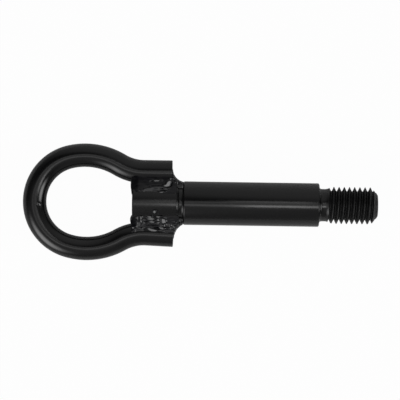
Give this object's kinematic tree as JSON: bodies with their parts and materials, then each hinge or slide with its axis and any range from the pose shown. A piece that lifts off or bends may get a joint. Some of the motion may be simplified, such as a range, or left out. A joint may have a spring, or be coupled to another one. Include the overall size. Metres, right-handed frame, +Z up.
{
  "type": "recovery tow hook",
  "caption": "Screw-in recovery tow hook: a bent round-bar eye welded to a turned shank with a left-hand threaded stud.",
  "frame": {"origin": "centre of the front shoulder face, on the shank's axis, where the hook seats against its socket", "axes": "+X along the shank's axis towards the threaded tip, +Z up from the surface that the hook lies on, and the eye lies flat in the XY plane"},
  "size_m": [0.1709, 0.0562, 0.021],
  "materials": {
    "black_paint": "gloss black paint over steel",
    "painted_weld": "gloss black paint over rough weld metal"
  },
  "bodies": {
    "root": {"eye_loop": "black_paint", "threaded_shank": "black_paint", "weld_upper": "painted_weld", "weld_lower": "painted_weld"}
  },
  "joints": []
}
